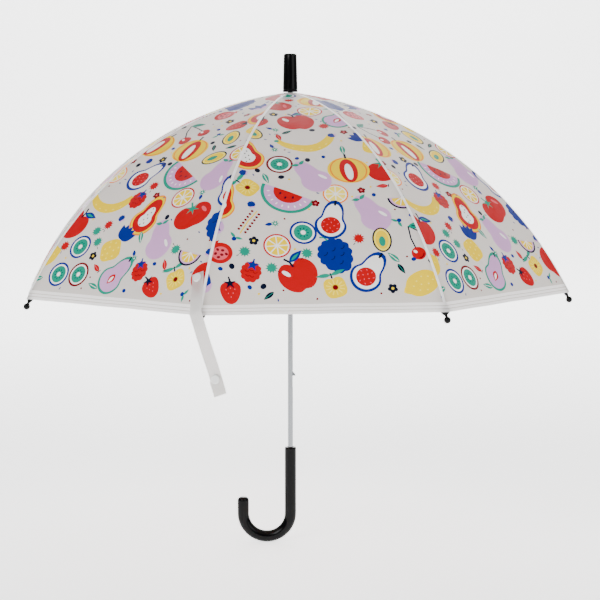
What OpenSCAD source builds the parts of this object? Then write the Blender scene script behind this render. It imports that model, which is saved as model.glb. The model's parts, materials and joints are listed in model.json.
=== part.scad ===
// Children's stick umbrella with a clear dome canopy on eight ribs, shown open.
// Millimetres. The origin is on the shaft's axis at the middle of the handle's straight grip,
// +Z runs up the shaft to the ferrule, and the hook of the handle points to -X.

/* [Canopy and ribs] */
// Radius of the open canopy at the eyes of the rib tips
open_radius = 361; // [330:1:400]
// Height of the rib tips' eyes above the middle of the grip
tip_height = 266; // [240:1:300]
// Slope of a rib below level where it leaves the notch
rib_start_slope = 7.5; // [5:0.5:10]
// Turn of a rib from the notch to its tip
rib_turn = 55; // [50:0.5:58]
// Turn of the first rib from straight ahead
first_rib_turn = -16; // [-20:0.5:-10]
// Radius of the rib wire
rib_wire_r = 1.3; // [1.1:0.05:1.3]
// Share of the rib, from the notch, at which the stretcher's rivet sits
bracket_share = 0.36; // [0.33:0.01:0.38]
// Angle by which a rib turns down when the umbrella closes
rib_fold = 68.6; // [67:0.1:70]
// Thickness of the canopy film
film_t = 0.5; // [0.3:0.1:0.6]
// Height of the film over the rib's middle line at the notch
film_rise_top = 4.2; // [4.2:0.1:4.8]
// Height of the film over the rib's middle line at the tip
film_rise_tip = 4.2; // [4:0.1:4.8]
// Radius of the hole at the top of the canopy
canopy_hole_r = 4.6; // [4.3:0.1:5.4]

/* [Shaft and ferrule] */
// Outer radius of the steel shaft tube
shaft_r = 3.4; // [3.2:0.05:3.5]
// Wall of the shaft tube
shaft_wall = 0.6; // [0.4:0.05:0.7]
// Height of the ferrule
ferrule_h = 50; // [36:1:64]
// Radius of the ferrule at its base
ferrule_base_r = 10; // [9:0.1:11.5]
// Radius of the ferrule at its top
ferrule_top_r = 8.6; // [7.5:0.1:9]
// Depth of the shaft's end in the ferrule
ferrule_socket = 30; // [18:1:32]

/* [Notch and runner] */
// Radius of the ring on which the ribs turn
notch_ring_r = 9.5; // [9.2:0.1:10.5]
// Radius of the ring on which the stretchers turn
runner_ring_r = 10.5; // [10:0.1:11]
// Radius of the ring wire
ring_wire_r = 1; // [0.8:0.05:1]
// Distance of the crown's outer wall past the ring
crown_past_ring = 3; // [2.6:0.1:3.4]
// Slope of an open stretcher above level, from the runner's ring to the rivet
stretcher_slope = 31.53; // [28:0.01:34]
// Outer radius of the runner's sleeve
sleeve_r = 6; // [5.6:0.1:6.3]
// Length of the sleeve under the runner's crown
sleeve_length = 45; // [40:1:50]
// Height of the window in the sleeve
window_h = 24; // [22:1:26]
// Distance of the window's lower end above the sleeve's lower end
window_up = 18; // [12:1:20]

/* [Catches] */
// Width of the sprung catches
catch_w = 2.2; // [1.8:0.1:2.4]
// Length of a catch from its root to its nose
catch_length = 24; // [20:1:26]
// Reach of a catch's nose past the shaft
catch_reach = 3.2; // [2.8:0.1:3.6]
// Height of a catch's nose
nose_h = 7; // [5:0.5:8]

/* [Handle] */
// Radius of the handle's round bar
handle_r = 7.65; // [6.5:0.05:9]
// Height of the handle's top above the middle of the grip
grip_up = 48; // [44:1:60]
// Depth of the straight grip below its middle
grip_down = 42; // [30:1:60]
// Radius of the hook's middle line
hook_r = 31.6; // [26:0.1:38]
// Height of the hook's free end above the start of the bend
hook_rise = 22; // [10:1:34]
// Depth of the shaft in the handle
handle_socket = 38; // [30:1:44]

/* [Rib tips] */
// Radius of the tip's flat eye
eye_r = 5; // [4.4:0.1:5.4]
// Thickness of the tip's flat eye
eye_t = 4; // [3:0.1:4.4]
// Radius of the ball at the end of a tip
ball_r = 4; // [3.4:0.1:4.4]
// Distance from the eye's middle to the ball's middle
ball_out = 11; // [10:0.5:12]
// Length of the socket that holds the rib's end
tip_socket = 12; // [9:0.5:15]

/* [Strap] */
// Width of the closing strap
strap_w = 15.7; // [13:0.1:17]
// Thickness of the closing strap
strap_t = 0.6; // [0.4:0.05:0.7]
// Length of the closing strap
strap_length = 150; // [145:1:185]
// Distance between the strap's two snaps
snap_spacing = 125; // [110:1:132]
// Radius of a snap
snap_r = 5.3; // [4.6:0.1:5.8]
// Distance of the canopy's snap up the film from the hem
snap_up = 44; // [38:1:50]
// Distance of the canopy's snap from the rib's seam
snap_aside = 10.8; // [10.4:0.2:14]
// Lean of the hanging strap
strap_lean = 24; // [5:0.5:25]

/* [Clearances] */
// Gap around pieces that are fixed to each other
seat_gap = 0.05; // [0.03:0.01:0.1]
// Radial clearance of the runner on the shaft
slide_gap = 0.1; // [0.05:0.01:0.1]
// Gap around pieces that turn or lie beside each other
turn_gap = 0.3; // [0.25:0.01:0.35]
// Gap between a catch's nose and the edge that it holds
catch_gap = 0.7; // [0.6:0.1:1]

/* [Hidden] */
$fn = 48;
BLACK = "#141416";
STEEL = "#c9cbcd";
WHITE = "#eef0f0";
FILM = "#dfdfdc99";
RIBS = 8;

// Ribs: one arc, from the notch's ring at share 0 to the tip's eye at share 1
rib_step = 360 / RIBS;
half_step = rib_step / 2;
arc_r = (open_radius - notch_ring_r) / (sin(rib_start_slope + rib_turn) - sin(rib_start_slope));
arc_length = arc_r * rib_turn * PI / 180;
notch_z = tip_height + arc_r * (cos(rib_start_slope) - cos(rib_start_slope + rib_turn));
arc_x = notch_ring_r - arc_r * sin(rib_start_slope);
arc_z = notch_z - arc_r * cos(rib_start_slope);
function share_of(length) = length / arc_length;
function slope_at(share) = rib_start_slope + rib_turn * share;
function rib_at(share, rise = 0) =
    [arc_x + (arc_r + rise) * sin(slope_at(share)), 0, arc_z + (arc_r + rise) * cos(slope_at(share))];

// Joint of inner rib, outer rib and stretcher: layers along the rivet, from the middle outwards
tongue_y = 0.6;
cheek_t = 0.8;
fork_y = tongue_y + turn_gap;
fork_out_y = fork_y + cheek_t;
channel_y = fork_out_y + turn_gap;
channel_out_y = channel_y + cheek_t;
rivet_r = 1;
rivet_head_r = 2;
rivet_head_t = 0.8;
rib_eye_r = 2.1;
stretcher_eye_r = 2.6;
fork_crotch = 6;
fork_length = 10;
tongue_length = 9;
knuckle_r = 2.4;
knuckle_y = 1.4;
bracket = rib_at(bracket_share);
stretcher_length = (bracket[0] - runner_ring_r) / cos(stretcher_slope);
runner_z = bracket[2] - stretcher_length * sin(stretcher_slope);
bracket_slope = atan2(notch_z - bracket[2], bracket[0] - notch_ring_r);
bracket_reach = norm(bracket - rib_at(0));
shut_x = notch_ring_r + bracket_reach * cos(bracket_slope + rib_fold);
shut_z = notch_z - bracket_reach * sin(bracket_slope + rib_fold);
runner_shut_z = shut_z - sqrt(pow(stretcher_length, 2) - pow(shut_x - runner_ring_r, 2));
runner_travel = runner_z - runner_shut_z;

// Crowns: toothed rings with a slot for each knuckle
slot_w = 2 * (knuckle_y + turn_gap);
crown_core = knuckle_r + turn_gap;
notch_up = 3;
notch_down = 5;
runner_up = 5;
runner_down = 5;
sleeve_bottom = runner_z - runner_down - sleeve_length;
window_w = catch_w + 4 * turn_gap;

// Catches: the upper one stands under the open runner, the lower one in the shut runner's window
top_nose_z = sleeve_bottom - catch_gap;
lower_nose_z = sleeve_bottom - runner_travel + window_up + catch_gap + nose_h;

// Film, ferrule and shaft ends
film_top_share = share_of(canopy_hole_r - notch_ring_r);
film_hem = share_of(3);
ferrule_z = film_at(film_top_share, film_t)[2] + turn_gap;
shaft_top = ferrule_z + ferrule_socket;
shaft_bottom = grip_up - handle_socket;
tip_dome = 2.5;
tip_flat_r = 5;

// The film's line over the rib, at a share of the rib and so far outside its own inner face
function film_at(share, out = 0) =
    rib_at(share, film_rise_top + (film_rise_tip - film_rise_top) * max(0, share) + out);

// Place of the canopy's snap, in the frame of the panel on the left of the first rib
snap_share = 1 + film_hem - share_of(snap_up);
snap_rib = film_at(snap_share, film_t);
snap_at = [snap_rib[0] * cos(half_step), snap_rib[0] * sin(half_step) - snap_aside, snap_rib[2]];
panel_slope = atan2(sin(slope_at(snap_share)), cos(slope_at(snap_share)) * cos(half_step));
strap_off = 1;
strap_off_hem = 5.5;
strap_top = 6.8;
strap_bend = snap_up + 4;
snap_cap_t = 2.4;
snap_post_r = 1.5;
strap_drop = strap_length - strap_top - strap_bend;

module on_rib(i) {
    rotate([0, 0, first_rib_turn + (i - 1) * rib_step - 90]) children();
}

module at_snap() {
    rotate([0, 0, first_rib_turn - half_step - 90])
        translate(snap_at) rotate([0, panel_slope - 90, 0]) children();
}

// A solid of an outline in the rib's plane, from one distance beside that plane to another
module plate(y0, y1) {
    translate([0, y1, 0]) rotate([90, 0, 0]) linear_extrude(y1 - y0) children();
}

// The same on both sides of the rib's plane
module plates(y0, y1) {
    plate(y0, y1) children();
    plate(-y1, -y0) children();
}

module pin_y(r, half) {
    rotate([90, 0, 0]) cylinder(r = r, h = 2 * half, center = true);
}

// The rib's wire between two shares of the arc
module wire(from, to) {
    translate([arc_x, 0, arc_z]) rotate([90, 0, 0])
        rotate([0, 0, 90 - slope_at(to)]) rotate_extrude(angle = slope_at(to) - slope_at(from))
            translate([arc_r, 0]) circle(rib_wire_r);
}

// Children drawn at a share of the rib: x runs on along the rib, z points out of the canopy
module along_rib(share) {
    translate(rib_at(share)) rotate([0, slope_at(share), 0]) children();
}

module rib_inner(i) {
    color(STEEL) on_rib(i) difference() {
        union() {
            wire(0, bracket_share - share_of(tongue_length - 2));
            translate(rib_at(0)) pin_y(knuckle_r, knuckle_y);
            along_rib(bracket_share) plate(-tongue_y, tongue_y) {
                circle(rib_eye_r);
                translate([-tongue_length, -rib_eye_r + 0.4])
                    square([tongue_length, 2 * rib_eye_r - 0.8]);
            }
        }
        translate(rib_at(0)) pin_y(ring_wire_r + turn_gap, knuckle_y + 1);
        translate(bracket) pin_y(rivet_r + seat_gap, knuckle_y + 1);
    }
}

module rib_outer(i) {
    color(STEEL) on_rib(i) difference() {
        union() {
            wire(bracket_share + share_of(fork_length - 1), 1 - share_of(eye_r - 1));
            along_rib(bracket_share) {
                plates(fork_y, fork_out_y) {
                    circle(rib_eye_r);
                    translate([0, 0.4 - rib_eye_r]) square([fork_length, 2 * rib_eye_r - 0.8]);
                }
                plate(-fork_y - 0.1, fork_y + 0.1)
                    translate([fork_crotch, 0.4 - rib_eye_r])
                        square([fork_length - fork_crotch, 2 * rib_eye_r - 0.8]);
            }
        }
        translate(bracket) pin_y(rivet_r + turn_gap, channel_y);
    }
}

module rib_rivet(i) {
    color(STEEL) on_rib(i) translate(bracket) {
        pin_y(rivet_r, channel_out_y + turn_gap + 0.1);
        for (side = [-1, 1])
            translate([0, side * (channel_out_y + turn_gap + rivet_head_t / 2), 0])
                pin_y(rivet_head_r, rivet_head_t / 2);
    }
}

// Stretcher: a folded steel channel whose open outer half straddles the rib
module stretcher(i) {
    neck = 16;
    bar_h = 3.6;
    channel_h = 4;
    web_end = 0.45 * stretcher_length;
    color(STEEL) on_rib(i) translate([runner_ring_r, 0, runner_z]) rotate([0, -stretcher_slope, 0])
        difference() {
            union() {
                pin_y(knuckle_r, knuckle_y);
                plate(-knuckle_y, knuckle_y)
                    translate([0, -bar_h / 2]) square([neck, bar_h]);
                plates(knuckle_y - 0.1, channel_out_y)
                    translate([neck - 3, -channel_h / 2]) square([3, channel_h]);
                plates(channel_y, channel_out_y) {
                    translate([neck - 3, -channel_h / 2])
                        square([stretcher_length - neck + 3, channel_h]);
                    translate([stretcher_length, 0]) circle(stretcher_eye_r);
                }
                plate(-channel_out_y, channel_out_y)
                    translate([neck - 3, -channel_h / 2]) square([web_end - neck, cheek_t]);
            }
            pin_y(ring_wire_r + turn_gap, knuckle_y + 1);
            translate([stretcher_length, 0, 0]) pin_y(rivet_r + turn_gap, channel_out_y + 1);
        }
}

// Tip: socket on the wire, flat eye for the canopy's thread, neck and ball
module rib_tip(i) {
    eye_hole_r = 1;
    neck_r = 1.7;
    socket_wall = 0.9;
    color(BLACK) on_rib(i) difference() {
        along_rib(1) {
            cylinder(r = eye_r, h = eye_t, center = true);
            rotate([0, 90, 0]) cylinder(r = neck_r, h = ball_out);
            translate([ball_out, 0, 0]) sphere(ball_r);
            rotate([0, -90, 0]) cylinder(r = rib_wire_r + socket_wall, h = tip_socket + eye_r);
        }
        along_rib(1) cylinder(r = eye_hole_r, h = eye_t + 2, center = true);
        // the bore follows the wire's own arc, with the seat's gap all round
        translate([arc_x, 0, arc_z]) rotate([90, 0, 0])
            rotate([0, 0, 90 - slope_at(1 - share_of(eye_r - 1.3))])
                rotate_extrude(angle = rib_turn * share_of(2 * tip_socket))
                    translate([arc_r, 0]) circle(rib_wire_r + seat_gap);
    }
}

// Half of a flat panel, from the rib's plane to the panel's middle, on one side of the rib
module half_panel(side) {
    facets = 22;
    reach = 1.3 * open_radius;
    shares = [for (k = [0:facets]) film_top_share + (1 + film_hem - film_top_share) * k / facets];
    inner = [for (s = shares) [film_at(s)[0] * cos(half_step), film_at(s)[2]]];
    outer = [for (k = [facets:-1:0])
        [film_at(shares[k], film_t)[0] * cos(half_step), film_at(shares[k], film_t)[2]]];
    middle = [reach * cos(half_step), side * reach * sin(half_step)];
    gap = [side * sin(half_step), -cos(half_step)] * side * turn_gap / 2;
    intersection() {
        rotate([0, 0, side * half_step]) plate(-open_radius / 2, open_radius / 2)
            polygon(concat(inner, outer));
        translate([0, 0, tip_height - 50]) linear_extrude(notch_z - tip_height + 100)
            polygon([[0, 0], [reach, 0], middle + gap, gap]);
    }
}

module canopy_gore(i) {
    color(FILM) on_rib(i) {
        half_panel(1);
        half_panel(-1);
    }
}

// A crown: a disc with a core, a slot for each rib and a groove for the ring's wire
module crown(ring_r, up, down) {
    difference() {
        translate([0, 0, -down]) cylinder(r = ring_r + crown_past_ring, h = up + down);
        for (i = [1:RIBS]) on_rib(i) translate([ring_r - crown_core, -slot_w / 2, -down - 1])
            cube([crown_core + crown_past_ring + 1, slot_w, up + down + 2]);
        rotate_extrude() translate([ring_r, 0]) circle(ring_wire_r + seat_gap);
    }
}

module top_notch() {
    color(BLACK) translate([0, 0, notch_z]) difference() {
        crown(notch_ring_r, notch_up, notch_down);
        cylinder(r = shaft_r + seat_gap, h = 40, center = true);
    }
}

module notch_ring() {
    color(STEEL) translate([0, 0, notch_z])
        rotate_extrude() translate([notch_ring_r, 0]) circle(ring_wire_r);
}

module runner() {
    color(BLACK) difference() {
        union() {
            translate([0, 0, runner_z]) crown(runner_ring_r, runner_up, runner_down);
            translate([0, 0, sleeve_bottom]) cylinder(r = sleeve_r, h = sleeve_length + 1);
            translate([0, 0, sleeve_bottom]) cylinder(r = sleeve_r + 1, h = 4);
        }
        translate([0, 0, sleeve_bottom - 1])
            cylinder(r = shaft_r + slide_gap, h = sleeve_length + 20);
        translate([0, -window_w / 2, sleeve_bottom + window_up])
            cube([sleeve_r + 2, window_w, window_h]);
    }
}

module runner_ring() {
    color(STEEL) translate([0, 0, runner_z])
        rotate_extrude() translate([runner_ring_r, 0]) circle(ring_wire_r);
}

// A sprung catch lies in the tube behind its slot, and its nose stands out at the slot's top.
// The outline runs from the nose's flat side, which holds the runner, to its slope.
module catch_strip(nose_z, nose_side) {
    strip_t = 0.7;
    strip_x = 1.55;
    nose_land = 1.5;
    front = strip_x + strip_t;
    nose = shaft_r + catch_reach;
    flat_z = nose_side > 0 ? 0 : -nose_h;
    color(STEEL) translate([0, 0, nose_z]) plate(-catch_w / 2, catch_w / 2)
        polygon([[strip_x, -catch_length], [front, -catch_length], [front, -nose_h],
                 [nose, min(flat_z, flat_z - nose_side * nose_land)],
                 [nose, max(flat_z, flat_z - nose_side * nose_land)], [front, 0], [strip_x, 0]]);
}

module catch_slot(nose_z) {
    slot_half = catch_w / 2 + turn_gap;
    slot_over = 0.5;
    translate([0, -slot_half, nose_z - catch_length + 2])
        cube([shaft_r + 1, 2 * slot_half, catch_length - 2 + slot_over]);
}

module top_catch() {
    catch_strip(top_nose_z, 1);
}

module bottom_catch() {
    catch_strip(lower_nose_z, -1);
}

module shaft() {
    color(STEEL) difference() {
        translate([0, 0, shaft_bottom]) cylinder(r = shaft_r, h = shaft_top - shaft_bottom);
        translate([0, 0, shaft_bottom - 1])
            cylinder(r = shaft_r - shaft_wall, h = shaft_top - shaft_bottom + 2);
        catch_slot(top_nose_z);
        catch_slot(lower_nose_z);
    }
}

module ferrule() {
    base_edge = 1;
    color(BLACK) translate([0, 0, ferrule_z]) difference() {
        rotate_extrude() polygon([[0, 0], [ferrule_base_r - base_edge, 0],
            [ferrule_base_r, base_edge], [ferrule_top_r, ferrule_h - tip_dome],
            for (a = [15:15:75]) [tip_flat_r + (ferrule_top_r - tip_flat_r) * cos(a),
                                  ferrule_h - tip_dome + tip_dome * sin(a)],
            [tip_flat_r, ferrule_h], [0, ferrule_h]]);
        translate([0, 0, -1]) cylinder(r = shaft_r + seat_gap, h = ferrule_socket + 1 + seat_gap);
    }
}

// Handle: a straight grip, a half-round hook and a short rounded end
module handle() {
    top_bevel = 1.6;
    end_round = 3;
    bend_z = -grip_down;
    color(BLACK) difference() {
        union() {
            translate([0, 0, bend_z]) rotate_extrude() polygon([[0, 0], [handle_r, 0],
                [handle_r, grip_up + grip_down - top_bevel],
                [handle_r - top_bevel, grip_up + grip_down], [0, grip_up + grip_down]]);
            translate([-hook_r, 0, bend_z]) rotate([90, 0, 0]) rotate([0, 0, 180])
                rotate_extrude(angle = 180) translate([hook_r, 0]) circle(handle_r);
            translate([-2 * hook_r, 0, bend_z]) rotate_extrude() polygon([[0, 0], [handle_r, 0],
                for (a = [0:15:90]) [handle_r - end_round + end_round * cos(a),
                                     hook_rise - end_round + end_round * sin(a)],
                [0, hook_rise]]);
        }
        translate([0, 0, shaft_bottom - seat_gap])
            cylinder(r = shaft_r + seat_gap, h = handle_socket + 1);
    }
}

// Strap: on the film from its snap to the hem, then hanging plumb
module strap() {
    down = [-cos(panel_slope), -sin(panel_slope)];
    bend = [strap_off_hem, -strap_bend];
    foot = bend + strap_drop * down;
    thick = [strap_t, 0];
    color(FILM) at_snap() rotate([strap_lean, 0, 0]) difference() {
        plate(-strap_w / 2, strap_w / 2)
            polygon([[strap_off, strap_top], [strap_off, -snap_r - 1], bend, foot, foot + thick,
                     bend + thick, [strap_off, -snap_r - 1] + thick, [strap_off, strap_top] + thick]);
        rotate([0, 90, 0]) cylinder(r = snap_post_r + turn_gap, h = 10, center = true);
        at_strap_snap() cylinder(r = snap_post_r + seat_gap, h = 10, center = true);
    }
}

// Children drawn at the strap's own snap, with z along the snap's axis
module at_strap_snap() {
    along = snap_spacing - strap_bend;
    translate([strap_off_hem - along * cos(panel_slope), 0, -strap_bend - along * sin(panel_slope)])
        rotate([0, 180 - panel_slope, 0]) children();
}

module snap_disc(r, h, edge) {
    cylinder(r = r, h = h - edge);
    translate([0, 0, h - edge]) cylinder(r1 = r, r2 = r - edge, h = edge);
}

module canopy_snap() {
    base_t = 0.4;
    color(WHITE) at_snap() rotate([0, 90, 0]) {
        translate([0, 0, turn_gap]) cylinder(r = snap_r, h = base_t);
        translate([0, 0, turn_gap]) cylinder(r = snap_post_r, h = strap_off + strap_t + 1);
        translate([0, 0, strap_off + strap_t + turn_gap]) snap_disc(snap_r, snap_cap_t, 0.8);
    }
}

module strap_snap() {
    skin = strap_t + seat_gap;
    color(WHITE) at_snap() rotate([strap_lean, 0, 0]) at_strap_snap() {
        cylinder(r = snap_post_r, h = 2 * skin + 0.4, center = true);
        translate([0, 0, skin]) snap_disc(snap_r, snap_cap_t, 0.8);
        mirror([0, 0, 1]) translate([0, 0, skin]) snap_disc(snap_r, 1.2, 0.4);
    }
}

shaft();
ferrule();
top_notch();
notch_ring();
handle();
runner();
runner_ring();
top_catch();
bottom_catch();
strap();
strap_snap();
canopy_snap();
for (i = [1:RIBS]) {
    rib_inner(i);
    rib_outer(i);
    stretcher(i);
    rib_rivet(i);
    rib_tip(i);
    canopy_gore(i);
}
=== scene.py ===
import json
import math
import random

import bmesh
import bpy
import numpy as np
from mathutils import Matrix, Vector
from mathutils.geometry import delaunay_2d_cdt


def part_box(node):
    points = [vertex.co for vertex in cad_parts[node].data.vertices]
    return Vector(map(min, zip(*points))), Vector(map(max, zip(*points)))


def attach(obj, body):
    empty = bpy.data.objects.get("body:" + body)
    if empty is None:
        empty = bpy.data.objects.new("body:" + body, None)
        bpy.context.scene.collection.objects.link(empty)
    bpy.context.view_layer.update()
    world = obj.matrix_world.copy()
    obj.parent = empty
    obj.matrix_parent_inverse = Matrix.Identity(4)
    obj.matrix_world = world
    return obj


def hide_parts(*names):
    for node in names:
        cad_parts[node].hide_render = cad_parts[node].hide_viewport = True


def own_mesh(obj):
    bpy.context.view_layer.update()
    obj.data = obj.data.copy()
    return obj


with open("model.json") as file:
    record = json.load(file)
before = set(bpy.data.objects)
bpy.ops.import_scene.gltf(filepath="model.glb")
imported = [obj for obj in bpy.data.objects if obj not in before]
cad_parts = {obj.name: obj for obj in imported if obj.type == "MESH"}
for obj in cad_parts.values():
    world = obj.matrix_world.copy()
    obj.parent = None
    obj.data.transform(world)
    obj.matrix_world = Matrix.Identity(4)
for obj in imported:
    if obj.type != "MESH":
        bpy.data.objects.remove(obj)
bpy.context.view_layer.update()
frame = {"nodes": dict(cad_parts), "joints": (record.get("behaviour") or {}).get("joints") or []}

MM = 0.001


# ---- Shaft and catches ----
# The shaft is a drawn steel tube with a satin finish, 6.8 mm across, with two slots cut in its side.
# A strip of spring steel lies behind each slot, and its nose stands out to hold the runner.
def linear(hex_colour):
    """An sRGB hex colour as the linear colour that a shader takes."""
    parts = [int(hex_colour[i:i + 2], 16) / 255 for i in (1, 3, 5)]
    return [c / 12.92 if c <= 0.04045 else ((c + 0.055) / 1.055) ** 2.4 for c in parts] + [1]


def add_node(tree, kind, inputs=None, **settings):
    """Adds a node with its settings; an input is a value or another node's output."""
    node = tree.nodes.new(kind)
    for name, value in settings.items():
        setattr(node, name, value)
    for name, value in (inputs or {}).items():
        if isinstance(value, bpy.types.NodeSocket):
            tree.links.new(value, node.inputs[name])
        else:
            node.inputs[name].default_value = value
    return node


def new_material(name, colour, roughness, metallic=0.0, coat=0.0):
    """A material with one Principled shader; returns it, its node tree and the shader."""
    material = bpy.data.materials.new(name)
    material.use_nodes = True
    tree = material.node_tree
    shader = tree.nodes["Principled BSDF"]
    shader.inputs["Base Color"].default_value = linear(colour)
    shader.inputs["Roughness"].default_value = roughness
    shader.inputs["Metallic"].default_value = metallic
    shader.inputs["Coat Weight"].default_value = coat
    shader.inputs["Coat Roughness"].default_value = 0.06
    return material, tree, shader


def stretched(tree, scale):
    """Object coordinates scaled along each axis, for a pattern that runs one way."""
    place = add_node(tree, "ShaderNodeTexCoord")
    return add_node(tree, "ShaderNodeMapping",
                    {"Vector": place.outputs["Object"], "Scale": scale}).outputs[0]


def roughen(tree, shader, pattern, low, high):
    """Lets a pattern move the roughness between two values."""
    spread = add_node(tree, "ShaderNodeMapRange",
                      {"Value": pattern, "From Min": 0.3, "From Max": 0.7,
                       "To Min": low, "To Max": high})
    tree.links.new(spread.outputs[0], shader.inputs["Roughness"])


def bump(tree, shader, pattern, height, strength=1.0):
    """Lets a pattern raise the surface by a height in metres."""
    raised = add_node(tree, "ShaderNodeBump",
                      {"Height": pattern, "Distance": height, "Strength": strength})
    tree.links.new(raised.outputs[0], shader.inputs["Normal"])


def tint(tree, shader, pattern, first, second):
    """Lets a pattern move the colour between two hex colours."""
    mix = add_node(tree, "ShaderNodeMix", {"Factor": pattern}, data_type="RGBA")
    mix.inputs[6].default_value = linear(first)
    mix.inputs[7].default_value = linear(second)
    tree.links.new(mix.outputs[2], shader.inputs["Base Color"])


def drawn_steel(name, colour, roughness, line_mm):
    """Drawn steel: fine lines along the tube from the die, which blur its highlight."""
    material, tree, shader = new_material(name, colour, roughness, metallic=1.0)
    lines = add_node(tree, "ShaderNodeTexNoise",
                     {"Vector": stretched(tree, (1 / (line_mm * MM), 1 / (line_mm * MM), 12)),
                      "Scale": 1.0, "Detail": 4.0})
    roughen(tree, shader, lines.outputs["Fac"], roughness - 0.07, roughness + 0.1)
    bump(tree, shader, lines.outputs["Fac"], 0.00001)
    return material


def dress(name, material):
    """Gives a CAD node its material."""
    mesh = frame["nodes"][name].data
    mesh.materials.clear()
    mesh.materials.append(material)


tube_steel = drawn_steel("drawn_steel_tube", "#8C8F92", 0.24, 0.4)
spring_steel = drawn_steel("spring_steel_strip", "#6E7174", 0.3, 0.3)
dress("shaft", tube_steel)
dress("top_catch", spring_steel)
dress("bottom_catch", spring_steel)


# ---- Handle ----
# A round ABS bar moulded as a hook, glossy black. It has a smooth bevel at the mouth, where the
# shaft goes in, and a rounded end.
def deselect():
    bpy.ops.object.select_all(action="DESELECT")


def select_points(test):
    """In edit mode, selects the points whose place passes the test, and nothing else."""
    bpy.ops.mesh.select_mode(type="VERT")
    bpy.ops.mesh.select_all(action="DESELECT")
    shape = bmesh.from_edit_mesh(bpy.context.object.data)
    for point in shape.verts:
        point.select = test(point.co)
    shape.select_flush(True)
    bmesh.update_edit_mesh(bpy.context.object.data)


def grow_rings(rings):
    """Extrudes the selected ring up through rings of (radius, height), all round the Z axis."""
    for (r0, z0), (r1, z1) in zip(rings, rings[1:]):
        bpy.ops.mesh.extrude_region_move(TRANSFORM_OT_translate={"value": (0, 0, z1 - z0)})
        if abs(r1 - r0) > 1e-7:
            bpy.ops.transform.resize(value=(r1 / r0, r1 / r0, 1), center_override=(0, 0, z1))


def turned(name, rings, sides=48, caps=True):
    """A piece turned from rings of (radius, height) about the Z axis, with closed flat ends."""
    deselect()
    bpy.ops.mesh.primitive_circle_add(vertices=sides, radius=rings[0][0],
                                      location=(0, 0, rings[0][1]), fill_type="NOTHING")
    piece = bpy.context.object
    piece.name = name
    bpy.ops.object.transform_apply(location=True, rotation=True, scale=True)
    bpy.ops.object.mode_set(mode="EDIT")
    bpy.ops.mesh.select_all(action="SELECT")
    grow_rings(rings)
    if caps:
        bpy.ops.mesh.edge_face_add()
        select_points(lambda co: abs(co.z - rings[0][1]) < 1e-7
                      and abs(math.hypot(co.x, co.y) - rings[0][0]) < 1e-6)
        bpy.ops.mesh.edge_face_add()
    bpy.ops.mesh.select_all(action="SELECT")
    bpy.ops.mesh.normals_make_consistent(inside=False)
    bpy.ops.object.mode_set(mode="OBJECT")
    return piece


def rounded(r0, z0, r1, z1, steps=5):
    """Rings of a quarter-round from (r0, z0) to (r1, z1), bulging outwards."""
    turns = [math.pi / 2 * k / steps for k in range(steps + 1)]
    return [(r1 + (r0 - r1) * math.cos(a), z0 + (z1 - z0) * math.sin(a)) for a in turns]


def give(piece, material, angle=40):
    """Puts the material on a piece and smooths what is rounder than the angle."""
    piece.data.materials.clear()
    piece.data.materials.append(material)
    deselect()
    piece.select_set(True)
    bpy.context.view_layer.objects.active = piece
    bpy.ops.object.shade_smooth_by_angle(angle=math.radians(angle))


def glossy_black(name):
    """Black ABS from a polished mould: deep gloss, faint flow marks and rubbed hairlines."""
    material, tree, shader = new_material(name, "#020203", 0.12)
    shader.inputs["Specular IOR Level"].default_value = 0.12
    flow = add_node(tree, "ShaderNodeTexNoise",
                    {"Vector": stretched(tree, (60, 60, 25)), "Scale": 1.0, "Detail": 5.0})
    tint(tree, shader, flow.outputs["Fac"], "#010102", "#040405")
    hairs = add_node(tree, "ShaderNodeTexNoise",
                     {"Vector": stretched(tree, (900, 900, 90)), "Scale": 1.0, "Detail": 3.0})
    roughen(tree, shader, hairs.outputs["Fac"], 0.07, 0.24)
    bump(tree, shader, flow.outputs["Fac"], 0.00004)
    return material


handle_low, handle_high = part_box("handle")
grip_r = (handle_high[1] - handle_low[1]) / 2
grip_top = handle_high[2]
hook_r = (handle_high[0] - handle_low[0]) / 2 - grip_r
bend_z = handle_low[2] + hook_r + grip_r
shaft_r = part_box("shaft")[1][1]
HOOK_RISE = 22 * MM
BEVEL = 1.6 * MM
END_ROUND = 5 * MM
SEAT = 0.05 * MM

deselect()
bpy.ops.mesh.primitive_circle_add(vertices=56, radius=grip_r, location=(0, 0, bend_z),
                                  fill_type="NOTHING")
handle = bpy.context.object
handle.name = "handle_hook"
bpy.ops.object.transform_apply(location=True, rotation=True, scale=True)
bpy.ops.object.mode_set(mode="EDIT")
bpy.ops.mesh.select_all(action="SELECT")
grow_rings([(grip_r, bend_z), (grip_r, bend_z + 0.3 * (grip_top - bend_z)),
            (grip_r, grip_top - BEVEL - 2 * MM)]
           + rounded(grip_r, grip_top - BEVEL, grip_r - BEVEL, grip_top, 4)
           + [(shaft_r + SEAT + 0.8 * MM, grip_top), (shaft_r + SEAT, grip_top - 0.6 * MM),
              (shaft_r + SEAT, grip_top - 6 * MM)])
select_points(lambda co: abs(co.z - bend_z) < 1e-7)
bpy.ops.mesh.spin(steps=40, angle=math.pi, center=(-hook_r, 0, bend_z), axis=(0, -1, 0))
spun = bmesh.from_edit_mesh(handle.data)
if min(point.co.z for point in spun.verts) > bend_z - grip_r:
    raise ValueError("the hook was spun the wrong way")
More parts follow.
